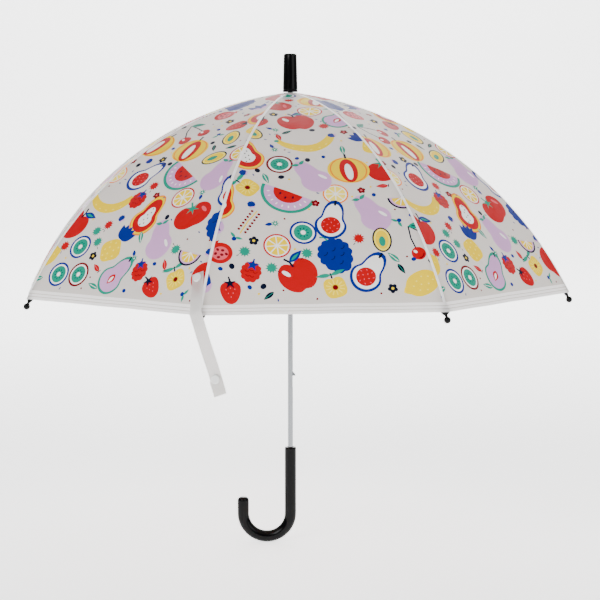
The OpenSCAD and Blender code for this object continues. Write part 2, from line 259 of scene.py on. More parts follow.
# the spin leaves its last ring selected, which goes straight up and closes in a rounded end
end_rings = [(grip_r, bend_z)] + rounded(grip_r, bend_z + HOOK_RISE - END_ROUND,
                                         grip_r - END_ROUND, bend_z + HOOK_RISE, 6)
for (r0, z0), (r1, z1) in zip(end_rings, end_rings[1:]):
    bpy.ops.mesh.extrude_region_move(TRANSFORM_OT_translate={"value": (0, 0, z1 - z0)})
    bpy.ops.transform.resize(value=(r1 / r0, r1 / r0, 1), center_override=(-2 * hook_r, 0, z1))
bpy.ops.mesh.edge_face_add()
bpy.ops.mesh.select_all(action="SELECT")
bpy.ops.mesh.remove_doubles(threshold=1e-6)
bpy.ops.mesh.normals_make_consistent(inside=False)
bpy.ops.object.mode_set(mode="OBJECT")
abs_black = glossy_black("moulded_glossy_abs")
give(handle, abs_black, 50)
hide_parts("handle")
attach(handle, "frame")


# ---- Ferrule ----
# The tapered black cap that closes the top of the shaft and clamps the canopy under its foot. It is
# moulded like the handle, with a small flange at the foot and a slightly domed end.
ferrule_low, ferrule_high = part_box("ferrule")
foot_r = ferrule_high[0]
ferrule_z = ferrule_low[2]
ferrule_h = ferrule_high[2] - ferrule_z
TOP_R = 8.6 * MM
FLAT_R = 5 * MM
DOME = 2.5 * MM

ferrule = turned("ferrule_cap", [
    (shaft_r + 0.4 * MM, ferrule_z), (foot_r - 1 * MM, ferrule_z)]
    + rounded(foot_r, ferrule_z + 1 * MM, foot_r, ferrule_z + 1 * MM, 1)
    + [(foot_r - 0.1 * MM, ferrule_z + 2.4 * MM), (foot_r - 0.55 * MM, ferrule_z + 2.8 * MM),
       (foot_r - 0.5 * MM, ferrule_z + 3.4 * MM), (foot_r - 0.25 * MM, ferrule_z + 3.8 * MM)]
    + [(foot_r - 0.3 * MM + (TOP_R - foot_r + 0.3 * MM) * k / 6,
        ferrule_z + 4.5 * MM + (ferrule_h - DOME - 4.5 * MM) * k / 6) for k in range(7)]
    + rounded(TOP_R, ferrule_z + ferrule_h - DOME, FLAT_R, ferrule_z + ferrule_h, 6)[1:], sides=64)
give(ferrule, abs_black, 35)
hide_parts("ferrule")
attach(ferrule, "frame")


# ---- Notch, runner and their rings ----
# Two crowns moulded in black nylon. A ring of steel wire in each crown carries the ribs' and the
# stretchers' knuckles. The runner slides on the shaft, and its window takes the lower catch.
def moulded_nylon(name):
    """Nylon from a spark-eroded mould: an even, fine grain that gives a soft sheen."""
    material, tree, shader = new_material(name, "#161618", 0.4)
    grain = add_node(tree, "ShaderNodeTexNoise",
                     {"Vector": stretched(tree, (2500, 2500, 2500)), "Scale": 1.0, "Detail": 2.0})
    roughen(tree, shader, grain.outputs["Fac"], 0.32, 0.5)
    bump(tree, shader, grain.outputs["Fac"], 0.00003)
    return material


nylon = moulded_nylon("black_nylon")
ring_wire = drawn_steel("galvanised_ring_wire", "#B9BCBE", 0.3, 0.3)
dress("top_notch", nylon)
dress("runner", nylon)
dress("notch_ring", ring_wire)
dress("runner_ring", ring_wire)


# ---- Ribs, stretchers and rivets ----
# Each rib is a spring steel wire in two parts with a fork at the rivet. The stretcher is a folded
# steel channel that straddles the rib. All are zinc plated, which gives a soft grey sparkle.
def zinc_plate(name, colour, roughness):
    """Bright zinc plate: small crystals, seen as a faint cloud in colour and gloss."""
    material, tree, shader = new_material(name, colour, roughness, metallic=1.0)
    cloud = add_node(tree, "ShaderNodeTexNoise",
                     {"Vector": stretched(tree, (400, 400, 400)), "Scale": 1.0, "Detail": 4.0})
    tint(tree, shader, cloud.outputs["Fac"], "#A7AAAD", colour)
    roughen(tree, shader, cloud.outputs["Fac"], roughness - 0.08, roughness + 0.14)
    bump(tree, shader, cloud.outputs["Fac"], 0.00002)
    return material


RIBS = 8
rib_zinc = zinc_plate("zinc_plated_wire", "#C6C9CB", 0.34)
channel_zinc = zinc_plate("zinc_plated_channel", "#CDCFD1", 0.3)
rivet_steel = zinc_plate("nickel_rivet", "#D6D3CC", 0.22)
for rib in range(1, RIBS + 1):
    dress(f"rib_inner_{rib}", rib_zinc)
    dress(f"rib_outer_{rib}", rib_zinc)
    dress(f"stretcher_{rib}", channel_zinc)
    dress(f"rib_rivet_{rib}", rivet_steel)


# ---- Line of the ribs and of the film over them ----
# A rib follows one arc from the notch's ring to its tip. The film is cut in eight flat panels, one
# between each two ribs, and is straight from rib to rib, so it bends one way only.
joints = {joint["name"]: joint for joint in frame["joints"]}
START_SLOPE = math.radians(7.5)
RIB_TURN = math.radians(55)
BRACKET_SHARE = 0.36
HALF_STEP = math.pi / RIBS
FILM_RISE_TOP = 4.2 * MM
FILM_RISE_TIP = 4.2 * MM
FILM_T = 0.5 * MM
HOLE_R = 4.6 * MM
HEM_PAST_EYE = 3 * MM
hinge_at = Vector(joints["rib_hinge_1"]["pos_m"])
rivet_at = Vector(joints["rib_flex_1"]["pos_m"])
notch_r = math.hypot(hinge_at.x, hinge_at.y)
rivet_r = math.hypot(rivet_at.x, rivet_at.y)
chord = math.hypot(rivet_r - notch_r, rivet_at.z - hinge_at.z)
arc_r = chord / (2 * math.sin(RIB_TURN * BRACKET_SHARE / 2))
arc_length = arc_r * RIB_TURN
first_turn = math.atan2(hinge_at.y, hinge_at.x)


def rib_line(share, rise=0.0):
    """Distance from the shaft and height of the rib's line at a share of it, raised outwards."""
    slope = START_SLOPE + RIB_TURN * share
    return (notch_r + arc_r * (math.sin(slope) - math.sin(START_SLOPE)) + rise * math.sin(slope),
            hinge_at.z + arc_r * (math.cos(slope) - math.cos(START_SLOPE)) + rise * math.cos(slope))


def film_line(share):
    """The same for the middle of the film's thickness."""
    rise = FILM_RISE_TOP + (FILM_RISE_TIP - FILM_RISE_TOP) * max(0.0, share) + FILM_T / 2
    return rib_line(share, rise)


def rib_matrix(rib):
    """Turns a place drawn in the XZ plane into the plane of a rib."""
    return Matrix.Rotation(first_turn + (rib - 1) * 2 * HALF_STEP, 4, "Z")


# ---- Rib tips ----
# Each rib ends in a moulded black nylon tip: a socket on the wire, a flat round eye that the canopy
# is sewn through, a short neck and a ball that keeps the point safe.
EYE_R = 5 * MM
EYE_T = 4 * MM
EYE_HOLE_R = 1.1 * MM
BALL_R = 4 * MM
BALL_OUT = 11 * MM
NECK_R = 1.7 * MM
SOCKET_R = 2.2 * MM
SOCKET_BACK = 17 * MM


def ball_rings(radius, middle, start, end, steps=10):
    """Rings of a ball about a height, between two angles from its lower pole, in degrees."""
    turns = [math.radians(start + (end - start) * k / steps) for k in range(steps + 1)]
    return [(radius * math.sin(a), middle - radius * math.cos(a)) for a in turns]


stem = turned("tip_stem", [(1.5 * MM, -SOCKET_BACK + 0.2 * MM), (SOCKET_R - 0.3 * MM, -SOCKET_BACK),
                           (SOCKET_R, -SOCKET_BACK + 0.4 * MM), (SOCKET_R, -EYE_R),
                           (SOCKET_R * 1.15, -EYE_R * 0.6), (SOCKET_R * 1.15, EYE_R * 0.6),
                           (NECK_R, EYE_R + 0.4 * MM), (NECK_R, EYE_R + 1.6 * MM)]
              + ball_rings(BALL_R, BALL_OUT, 28, 174, 14), sides=24)
eye_round = 0.7 * MM
eye = turned("tip_eye", [(EYE_R - eye_round, -EYE_T / 2)]
             + rounded(EYE_R, -EYE_T / 2 + eye_round, EYE_R, -EYE_T / 2 + eye_round, 1)
             + rounded(EYE_R, EYE_T / 2 - eye_round, EYE_R - eye_round, EYE_T / 2, 4), sides=32)
eye_hole = turned("tip_hole", [(EYE_HOLE_R, -EYE_T), (EYE_HOLE_R, EYE_T)], sides=20)
stem.data.transform(Matrix.Rotation(math.pi / 2, 4, "Y"))


def cut(piece, tool, operation):
    """Joins a tool to a piece, or cuts it out, and drops the tool."""
    change = piece.modifiers.new("cut", "BOOLEAN")
    change.operation = operation
    change.solver = "EXACT"
    change.object = tool
    deselect()
    piece.select_set(True)
    bpy.context.view_layer.objects.active = piece
    bpy.ops.object.modifier_apply(modifier=change.name)
    bpy.data.objects.remove(tool)


cut(eye, stem, "UNION")
cut(eye, eye_hole, "DIFFERENCE")
tip_nylon = glossy_black("polished_black_nylon")
give(eye, tip_nylon, 35)
eye_x, eye_z = rib_line(1.0)
at_tip = (Matrix.Translation((eye_x, 0, eye_z))
          @ Matrix.Rotation(START_SLOPE + RIB_TURN, 4, "Y"))
for rib in range(1, RIBS + 1):
    tip = eye if rib == RIBS else eye.copy()
    if rib < RIBS:
        tip.data = eye.data.copy()
        bpy.context.collection.objects.link(tip)
    tip.name = f"tip_{rib}"
    tip.data.transform(rib_matrix(rib) @ at_tip)
    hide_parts(f"rib_tip_{rib}")
    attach(tip, f"rib_outer_{rib}")


# ---- Print on the film ----
# Fruit, leaves and flowers in eleven flat inks. The print is cut into the film's own faces. Each motif
# is a few closed outlines, given from the lowest ink to the top one, about one unit across.
def polar(r, turn, rise=None):
    """A place at a distance and an angle in degrees; rise is the distance upwards, if it differs."""
    a = math.radians(turn)
    return r * math.cos(a), (r if rise is None else rise) * math.sin(a)


def oval(x, y, rx, ry, turn=0.0, steps=22):
    """A closed oval about a middle."""
    c, s = math.cos(math.radians(turn)), math.sin(math.radians(turn))
    ring = [(math.cos(2 * math.pi * k / steps) * rx, math.sin(2 * math.pi * k / steps) * ry)
            for k in range(steps)]
    return [(x + px * c - py * s, y + px * s + py * c) for px, py in ring]


def outline(radius_at, x=0.0, y=0.0, size=1.0, steps=44):
    """A closed outline from its radius at each angle in degrees, 0 to the right, 90 at the top."""
    turns = [360 * k / steps for k in range(steps)]
    return [(x + size * radius_at(a) * math.cos(math.radians(a)),
             y + size * radius_at(a) * math.sin(math.radians(a))) for a in turns]


def leaf(x, y, length, width, turn, steps=12):
    """A pointed leaf from its stalk's end."""
    c, s = math.cos(math.radians(turn)), math.sin(math.radians(turn))
    side = [(length * k / steps, width / 2 * math.sin(math.pi * (k / steps) ** 0.8))
            for k in range(steps + 1)]
    ring = side + [(px, -py) for px, py in side[-2:0:-1]]
    return [(x + px * c - py * s, y + px * s + py * c) for px, py in ring]


def stroke(points, width):
    """A line of even width through points, with square ends."""
    left, right = [], []
    for k, (x, y) in enumerate(points):
        ax, ay = points[max(k - 1, 0)]
        bx, by = points[min(k + 1, len(points) - 1)]
        length = math.hypot(bx - ax, by - ay)
        nx, ny = -(by - ay) / length * width / 2, (bx - ax) / length * width / 2
        left.append((x + nx, y + ny))
        right.append((x - nx, y - ny))
    return left + right[::-1]


def arc(x, y, r, start, end, steps=16):
    """Points along a round arc between two angles."""
    turns = [math.radians(start + (end - start) * k / steps) for k in range(steps + 1)]
    return [(x + r * math.cos(a), y + r * math.sin(a)) for a in turns]


def star(x, y, inner, outer, points, turn=90):
    """A closed star, its first point at the angle given."""
    turns = [math.radians(turn + 180 * k / points) for k in range(2 * points)]
    return [(x + (inner if k % 2 else outer) * math.cos(a),
             y + (inner if k % 2 else outer) * math.sin(a)) for k, a in enumerate(turns)]


def dent(a, middle, wide, deep):
    """A smooth dent in an outline's radius about an angle."""
    off = (a - middle + 180) % 360 - 180
    return deep * math.exp(-(off / wide) ** 2)


def drop_shape(x, y, size, neck=0.34):
    """The outline of a pear, fig or papaya: round below, with a neck above."""
    return outline(lambda a: 0.36 + dent(a, 90, 30, neck) - dent(a, 38, 26, 0.05)
                   - dent(a, 142, 26, 0.05) + dent(a, 270, 50, 0.04), x, y - 0.12 * size, size)


def apple():
    body = outline(lambda a: 0.42 - dent(a, 90, 20, 0.15) - dent(a, 270, 14, 0.06)
                   + dent(a, 20, 40, 0.03) + dent(a, 160, 40, 0.03))
    return [("red", body), ("navy", stroke([(0, 0.22), (0.02, 0.36), (0.1, 0.48)], 0.05)),
            ("blue", leaf(0.02, 0.36, 0.42, 0.17, 160)), ("teal", leaf(-0.04, 0.38, 0.26, 0.06, 160)),
            ("white", oval(0.22, 0.14, 0.05, 0.11, -30))]


def tomato():
    body = outline(lambda a: 0.36 + 0.13 * math.cos(math.radians(a)) ** 2
                   - dent(a, 90, 24, 0.1) - dent(a, 270, 20, 0.03))
    return [("red", body), ("teal", star(0, 0.22, 0.06, 0.2, 6, 90)),
            ("teal", stroke([(0, 0.24), (0, 0.42)], 0.05)), ("pink", oval(-0.3, 0.06, 0.045, 0.12, -24))]


def lemon():
    body = outline(lambda a: 0.3 + 0.1 * math.cos(math.radians(a)) ** 2 + dent(a, 0, 11, 0.1)
                   + dent(a, 180, 11, 0.07))
    pores = [("cream", oval(x, y, 0.022, 0.022, steps=8))
             for x, y in ((-0.2, 0.08), (-0.06, 0.15), (0.1, 0.1), (0.22, 0.02), (-0.12, -0.08),
                          (0.04, -0.02), (0.14, -0.13), (-0.02, -0.2), (-0.26, -0.04))]
    return [("yellow", body), ("teal", leaf(-0.44, 0.02, 0.24, 0.1, 130))] + pores


def banana():
    back = arc(0, 0.35, 0.62, 200, 345, 20)
    front = arc(0.02, 0.52, 0.56, 335, 215, 20)
    pores = [("cream", oval(0.6 * math.cos(math.radians(a)) * 0.97, 0.4 + 0.6 * math.sin(math.radians(a)),
                            0.03, 0.018, a + 90, steps=8)) for a in (235, 252, 270, 288, 306)]
    return [("yellow", back + front), ("navy", oval(-0.57, 0.16, 0.045, 0.04)),
            ("teal", oval(0.58, 0.22, 0.05, 0.04))] + pores


def cherries():
    return [("navy", stroke([(-0.24, -0.1), (-0.1, 0.16), (0.1, 0.42)], 0.035)),
            ("navy", stroke([(0.22, -0.2), (0.2, 0.1), (0.1, 0.42)], 0.035)),
            ("teal", leaf(0.1, 0.42, 0.4, 0.17, 195)), ("navy", stroke([(0.02, 0.4), (-0.2, 0.33)], 0.02)),
            ("red", oval(-0.27, -0.22, 0.17, 0.17)), ("red", oval(0.22, -0.33, 0.17, 0.17)),
            ("crimson", stroke(arc(-0.27, -0.22, 0.12, 200, 290, 8), 0.03)),
            ("crimson", stroke(arc(0.22, -0.33, 0.12, 200, 290, 8), 0.03)),
            ("white", oval(-0.22, -0.15, 0.035, 0.05, -30)), ("white", oval(0.27, -0.26, 0.035, 0.05, -30))]


def watermelon():
    seeds = [("white", oval(0.36 * math.cos(math.radians(a)), 0.16 + 0.36 * math.sin(math.radians(a)),
                            0.03, 0.014, a, steps=8)) for a in range(195, 350, 18)]
    pips = [("navy", oval(x, y, 0.018, 0.03, steps=8)) for x, y in ((-0.12, 0.06), (0.0, 0.0), (0.12, 0.06))]
    return [("teal", arc(0, 0.16, 0.5, 180, 360, 24)), ("lilac", arc(0, 0.16, 0.44, 180, 360, 24)),
            ("red", arc(0, 0.16, 0.27, 180, 360, 20))] + seeds + pips


def citrus(rim, flesh):
    parts = [(rim, oval(0, 0, 0.4, 0.4, steps=32)), ("white", oval(0, 0, 0.35, 0.35, steps=28)),
             (flesh, oval(0, 0, 0.31, 0.31, steps=28))]
    spokes = [("white", stroke([(0, 0), polar(0.31, a)], 0.035)) for a in range(10, 370, 45)]
    return parts + spokes + [("white", oval(0, 0, 0.06, 0.06, steps=12))]


def half_citrus():
    spokes = [("white", stroke([(0, 0), polar(0.31, a)], 0.03)) for a in (216, 252, 288, 324)]
    return [("navy", arc(0, 0, 0.44, 180, 360, 24)), ("lilac", arc(0, 0, 0.38, 180, 360, 24)),
            ("yellow", arc(0, -0.02, 0.31, 180, 360, 20))] + spokes


def kiwi(rim):
    seeds = [("navy", oval(*polar(0.15, a), 0.028, 0.014, a, steps=8)) for a in range(0, 360, 40)]
    return [(rim, oval(0, 0, 0.42, 0.42, steps=30)), ("white", oval(0, 0, 0.35, 0.35, steps=28)),
            ("teal", oval(0, 0, 0.29, 0.29, steps=26)), ("white", oval(0, 0, 0.08, 0.08, steps=14))] + seeds


def avocado():
    return [("navy", oval(0, 0, 0.3, 0.44, steps=30)), ("cream", oval(0, 0, 0.25, 0.39, steps=28)),
            ("yellow", oval(0, 0, 0.2, 0.33, steps=26)), ("teal", oval(0, -0.06, 0.1, 0.18, steps=20))]


def strawberry():
    body = outline(lambda a: 0.3 + dent(a, 270, 40, 0.13) + dent(a, 35, 30, 0.03)
                   + dent(a, 145, 30, 0.03), 0, -0.02)
    seeds = [("pink", oval(x, y, 0.016, 0.026, steps=8)) for x, y in
             ((-0.13, 0.02), (0.0, 0.06), (0.13, 0.02), (-0.07, -0.1), (0.07, -0.1), (0, -0.22))]
    return [("red", body), ("navy", star(0, 0.22, 0.07, 0.21, 5, 90)),
            ("navy", stroke([(0, 0.22), (0.03, 0.44)], 0.04))] + seeds


def raspberry():
    body = outline(lambda a: 0.27 + dent(a, 270, 55, 0.07) + 0.035 * abs(math.sin(math.radians(a * 5.5))),
                   steps=66)
    grains = [("crimson", stroke(arc(x, y, 0.06, 200, 340, 6), 0.018)) for x, y in
              ((-0.12, 0.02), (0.12, 0.02), (0, 0.07), (-0.06, -0.12), (0.07, -0.12))]
    return [("red", body), ("blue", star(0, 0.2, 0.08, 0.2, 5, 90)),
            ("blue", stroke([(0, 0.2), (0, 0.4)], 0.05))] + grains


def grapes():
    body = outline(lambda a: 0.34 + dent(a, 270, 40, 0.14) + 0.04 * abs(math.sin(math.radians(a * 6))),
                   steps=84)
    rounds = [("navy", stroke(arc(x, y, 0.07, 190, 300, 7), 0.016)) for x, y in
              ((-0.2, 0.1), (0.0, 0.13), (0.2, 0.1), (-0.12, -0.05), (0.1, -0.05), (-0.01, -0.22))]
    return [("blue", body), ("teal", stroke([(0, 0.34), (0.03, 0.44), (0.12, 0.48)], 0.04)),
            ("teal", stroke(arc(-0.12, 0.42, 0.09, 0, 230, 10), 0.02))] + rounds


def blackberry():
    body = outline(lambda a: 0.24 + 0.035 * abs(math.sin(math.radians(a * 4))), steps=64)
    return [("blue", body), ("lilac", leaf(0, 0.2, 0.24, 0.13, 30)), ("lilac", leaf(0, 0.2, 0.24, 0.13, 150))]


def fig():
    seeds = [("pink", oval(0.17 * r * math.cos(math.radians(a)), -0.14 + 0.17 * r * math.sin(math.radians(a)),
                           0.012, 0.024, a + 60, steps=8))
             for r, a in [(0.45, t) for t in range(0, 360, 90)] + [(1.0, t) for t in range(20, 380, 45)]]
    rim = drop_shape(0, 0, 1.0)
    return [("blue", rim), ("white", drop_shape(0, -0.01, 0.84)),
            ("red", oval(0, -0.14, 0.22, 0.23, steps=26)),
            ("navy", stroke([(0, 0.42), (0, 0.56)], 0.05))] + seeds


def papaya():
    seeds = [("navy", oval(x, y, 0.016, 0.022, steps=8)) for x, y in
             ((0, 0.2), (-0.03, 0.1), (0.03, 0.02), (-0.04, -0.06), (0.04, -0.12), (-0.03, -0.2),
              (0.05, -0.26))]
    return [("orange", drop_shape(0, 0, 1.05)), ("yellow", drop_shape(0, 0, 0.98)),
            ("red", drop_shape(0, -0.01, 0.86)), ("white", drop_shape(0, -0.04, 0.5))] + seeds


def melon():
    return [("yellow", oval(0, 0, 0.47, 0.42, steps=34)),
            ("orange", stroke(arc(0, 0, 0.4, 100, 260, 16), 0.03)),
            ("orange", stroke(arc(0, 0, 0.4, -80, 80, 16), 0.03)),
            ("red", oval(0, -0.02, 0.2, 0.38, steps=26)), ("white", oval(0, -0.06, 0.09, 0.26, steps=20)),
            ("navy", stroke([(0, 0.38), (0, 0.54)], 0.05))]


def pear_half():
    core = [("red", leaf(0, 0.02, 0.3, 0.18, 270)), ("white", leaf(0, -0.04, 0.2, 0.08, 270))]
    return [("teal", drop_shape(0, 0, 1.0)), ("lilac", drop_shape(0, -0.01, 0.86)),
            ("navy", stroke([(0, 0.44), (0.05, 0.56)], 0.045))] + core


def lilac_pear():
    return [("lilac", drop_shape(0, 0, 1.0)), ("teal", leaf(0, 0.46, 0.2, 0.09, 20)),
            ("teal", leaf(0, 0.46, 0.2, 0.09, 160)), ("white", oval(-0.2, -0.14, 0.04, 0.12, -20, steps=12))]


def pineapple():
    eyes = [("cream", oval(x, y, 0.03, 0.03, 45, steps=4)) for x, y in
            ((-0.14, -0.08), (0.02, -0.04), (0.17, -0.1), (-0.08, -0.2), (0.08, -0.2),
             (-0.17, -0.32), (0.0, -0.34), (0.16, -0.3), (-0.07, -0.44), (0.09, -0.44))]
    crown = [("blue", leaf(0, 0.08, 0.4, 0.2, t)) for t in (50, 70, 92, 112, 134)]
    body = outline(lambda a: 0.29 + 0.02 * math.cos(math.radians(4 * a)), 0, -0.24)
    return [("yellow", body)] + crown + eyes


def pomegranate():
    seeds = [("crimson", oval(x, y, 0.05, 0.04, t, steps=10)) for x, y, t in
             ((-0.1, 0.02, 20), (0.02, 0.1, 80), (0.13, 0.0, -30), (-0.02, -0.1, 40), (0.1, -0.14, 10),
              (-0.15, -0.13, 70))]
    return [("red", oval(0, -0.03, 0.36, 0.34, steps=30)), ("red", star(0, 0.32, 0.07, 0.16, 5, 90)),
            ("pink", oval(0, -0.04, 0.24, 0.22, steps=22))] + seeds


def quince():
    rays = [("cream", stroke([polar(0.13, a, 0.1), polar(0.28, a, 0.24)], 0.03))
            for a in range(0, 360, 30)]
    body = outline(lambda a: 0.34 - 0.02 * math.cos(math.radians(4 * a)) - dent(a, 90, 16, 0.05))
    return [("yellow", body)] + rays + [("crimson", oval(0, 0, 0.08, 0.08, steps=14)),
            ("navy", stroke([(0, 0.28), (0, 0.46)], 0.05)), ("teal", leaf(0, 0.4, 0.44, 0.13, 8)),
            ("teal", leaf(0, 0.4, 0.44, 0.13, 172))]


def pod():
    peas = [("crimson", oval(x * 0.115, y, 0.036, 0.04, 10, steps=12))
            for x in range(-3, 4) for y in (0.1, -0.1)]
    return [("yellow", stroke([(-0.42, -0.01), (0, 0.02), (0.46, 0.0)], 0.035))] + peas


def flower(petals, middle):
    rounds = [(petals, oval(*polar(0.19, a), 0.13, 0.13, steps=14)) for a in range(18, 378, 72)]
    return rounds + [(petals, oval(0, 0, 0.16, 0.16, steps=14)), (middle, oval(0, 0, 0.09, 0.09, steps=14))]


def bud():
    return [("blue", leaf(-0.02, 0.02, 0.46, 0.24, 135)), ("teal", star(0.1, -0.1, 0.12, 0.26, 7, 60)),
            ("white", oval(0.1, -0.1, 0.05, 0.05, steps=10))]


def twin_leaves():
    return [("teal", leaf(0, 0, 0.46, 0.18, 20)), ("teal", leaf(0, 0, 0.46, 0.18, 160)),
            ("blue", oval(0, -0.12, 0.14, 0.14, steps=18))]


def one_leaf(ink, vein):
    return [(ink, leaf(-0.45, 0, 0.9, 0.34, 0)), (vein, stroke([(-0.36, 0), (0.3, 0)], 0.035))]


def bean():
    return [("red", leaf(-0.42, 0, 0.84, 0.36, 0)), ("pink", stroke([(-0.26, 0), (0.26, 0.0)], 0.05)),
            ("navy", stroke([(-0.42, -0.14), (-0.46, 0.16)], 0.06))]


def berry(ink):
    return [(ink, oval(0, 0, 0.42, 0.36, 20, steps=18))]


def burr(ink):
    return [(ink, star(0, 0, 0.28, 0.44, 11, 80)), ("navy", stroke([(0.36, 0.3), (0.5, 0.42)], 0.06))]


def tulip():
    return [("blue", leaf(0, -0.2, 0.6, 0.26, 60)), ("blue", leaf(0, -0.2, 0.6, 0.26, 120)),
            ("blue", leaf(0, -0.2, 0.62, 0.24, 90)), ("lilac", leaf(0, -0.24, 0.4, 0.14, 40)),
            ("lilac", leaf(0, -0.24, 0.4, 0.14, 140))]


# size in millimetres, share of that size which the motif needs round it, and the motifs of that size
LARGE = [(66, 0.40, watermelon), (62, 0.42, banana), (52, 0.43, tomato), (54, 0.44, melon),
         (52, 0.42, apple), (54, 0.43, grapes), (52, 0.42, lilac_pear), (54, 0.41, papaya),
         (52, 0.41, fig), (50, 0.45, cherries), (54, 0.45, pineapple), (50, 0.41, lemon),
         (52, 0.41, pear_half)]
MEDIUM = [(40, 0.42, lambda: citrus("red", "yellow")), (38, 0.43, lambda: kiwi("blue")),
          (38, 0.42, avocado), (40, 0.42, quince), (38, 0.4, strawberry), (40, 0.38, raspberry),
          (40, 0.41, pomegranate), (44, 0.38, pod), (40, 0.42, half_citrus), (38, 0.4, tulip),
          (38, 0.43, lambda: kiwi("crimson")), (38, 0.42, lambda: citrus("orange", "cream"))]
SMALL = [(19, 0.5, lambda: flower("navy", "yellow")), (16, 0.52, lambda: flower("crimson", "pink")),
         (20, 0.46, bud), (18, 0.46, bean), (17, 0.48, lambda: burr("red")),
         (17, 0.48, lambda: burr("teal")),
         (20, 0.44, lambda: one_leaf("teal", "white")), (17, 0.44, lambda: one_leaf("navy", "teal")),
         (18, 0.46, blackberry), (20, 0.45, twin_leaves)]
SPECKS = [(7, 0.7, lambda: berry("blue")), (3.2, 0.9, lambda: berry("crimson")),
          (3.6, 0.9, lambda: berry("yellow")), (5, 0.8, lambda: one_leaf("blue", "navy")),
          (9, 0.6, lambda: berry("navy"))]


# ---- Printed film ----
# One sheet for each rib above its rivet and one below it, cut so that the frame can fold. The film is
# frosted. Its seams along the ribs and the lines of its hem are coloured and not raised. The near-white
# strip along each rib is the seam's own tone with a painted highlight along the rib's ridge.
# width of the near-white strip beside each rib: the seam, with a painted highlight along the ridge
SEAM_AND_HIGHLIGHT = 1.9
HEM = 12.0
HEM_LINES = ((3.6, 4.5), (7.4, 8.3))
RULING = 8.0
WRINKLE = 0.7
PRINT_START = 14
PRINT_CROWDING = 0.7
PRINT_OVERHANG = 0.12

shares = np.linspace(-math.asin((notch_r - HOLE_R) / arc_r / math.cos(START_SLOPE)) / RIB_TURN,
                     1 + HEM_PAST_EYE / arc_length, 600)
line = np.array([film_line(share) for share in shares]) / MM
steps = np.hypot(np.diff(line[:, 0]) * math.cos(HALF_STEP), np.diff(line[:, 1]))
lengths = np.concatenate([[0], np.cumsum(steps)])
film_end = lengths[-1]
split_at = float(np.interp(BRACKET_SHARE, shares, lengths))


def half_width(q):
    """Half the width of a flat panel, in millimetres, at a distance down it."""
    return np.interp(q, lengths, line[:, 0]) * math.sin(HALF_STEP)


def wrinkles(panel, p, q):
    """How far the film stands off its flat line, in millimetres: nothing at the ribs."""
    across = p / np.maximum(half_width(q), 1)
    held = np.clip(1 - across ** 2, 0, 1) * np.clip(q / 60, 0, 1)
    low = np.sin(9.5 * across + 1.7 * panel + q / 95)
    cross = np.sin(q / 31 + 2.6 * across ** 2 + 0.9 * panel) * np.clip((q - 120) / 200, 0, 1)
    tips = np.sin(26 * across + panel) * np.clip((q - film_end + 110) / 110, 0, 1)
    return WRINKLE * held * (0.7 * low + 0.45 * cross + 0.35 * tips)


def in_space(panel, p, q):
    """Places on the canopy, in metres, of flat places on a panel in millimetres."""
    x = np.interp(q, lengths, line[:, 0]) * math.cos(HALF_STEP)
    z = np.interp(q, lengths, line[:, 1])
    dx = np.interp(q + 2, lengths, line[:, 0]) - np.interp(q - 2, lengths, line[:, 0])
    dz = np.interp(q + 2, lengths, line[:, 1]) - np.interp(q - 2, lengths, line[:, 1])
    dx = dx * math.cos(HALF_STEP)
    size = np.hypot(dx, dz)
    off = wrinkles(panel, p, q)
    turn = first_turn + (2 * panel - 1) * HALF_STEP
    x, z = x - dz / size * off, z + dx / size * off
    return np.stack([x * math.cos(turn) - p * math.sin(turn),
                     x * math.sin(turn) + p * math.cos(turn), z], axis=1) * MM


def film_normals(panel, p, q):
    """Outward normals of the wrinkled film."""
    reach = half_width(q) - 0.5
    low, high = np.clip(p - 0.5, -reach, reach), np.clip(p + 0.5, -reach, reach)
    high = np.maximum(high, low + 0.1)
    across = in_space(panel, high, q) - in_space(panel, low, q)
    down = (in_space(panel, p, np.minimum(q + 1, film_end - 0.01))
            - in_space(panel, p, np.maximum(q - 1, 0.01)))
    normals = np.cross(across, -down)
    return normals / np.linalg.norm(normals, axis=1)[:, None]


def place_print(seed):
    """The outlines of one panel's print, lowest first, as (ink, points in millimetres)."""
    chance = random.Random(seed)
    placed, shapes = [], []
    for kinds, tries, lean in ((LARGE, 3000, 38), (MEDIUM, 2500, 60), (LARGE[2:], 900, 38),
                               (MEDIUM, 900, 60), (SMALL * 3, 700, 180), (SPECKS * 10, 60, 180)):
        for size, share, draw in kinds:
            for _ in range(tries):
                r = size * share
                q = PRINT_START + (film_end - HEM - 16) * chance.random() ** PRINT_CROWDING
                reach = float(half_width(q))
                p = chance.uniform(-1, 1) * (reach + PRINT_OVERHANG * size)
                if q + r > film_end - HEM - 1 or reach < 0.75 * r:
                    continue
                if all(math.hypot(p - a, q - b) > r + c for a, b, c in placed):
                    placed.append((p, q, r))
                    turn = math.radians(180 + chance.uniform(-lean, lean))
                    c, s = math.cos(turn) * size, math.sin(turn) * size
                    shapes += [(ink, [(p + x * c - y * s, q + x * s + y * c) for x, y in ring])
                               for ink, ring in draw()]
                    break
    return shapes


# the near-white ink along each rib is the seam's own tone plus a painted highlight along the rib's ridge
INKS = {"clear": "#C9C4BF", "seam": "#FBFAFA", "hem": "#F4F2F1", "red": "#B4000F", "yellow": "#F0CC00",
        "blue": "#02207E", "navy": "#010924", "teal": "#0C8A72", "lilac": "#C99ACB", "orange": "#EE7A00",
        "crimson": "#6A000E", "white": "#F4F2F0", "pink": "#DC5560", "cream": "#FBE25A"}
ink_number = {name: number for number, name in enumerate(INKS)}


def inside(ring, spots):
    """Which of the flat spots lie within a closed outline."""
    ring = np.array(ring)
    found = np.zeros(len(spots), dtype=bool)
    near = np.where(np.all((spots > ring.min(axis=0)) & (spots < ring.max(axis=0)), axis=1))[0]
    for (x0, y0), (x1, y1) in zip(ring, np.roll(ring, -1, axis=0)):
        if abs(y1 - y0) > 1e-12:
            x, y = spots[near, 0], spots[near, 1]
            crossed = ((y0 > y) != (y1 > y)) & (x < (x1 - x0) * (y - y0) / (y1 - y0) + x0)
            found[near] ^= crossed
    return found


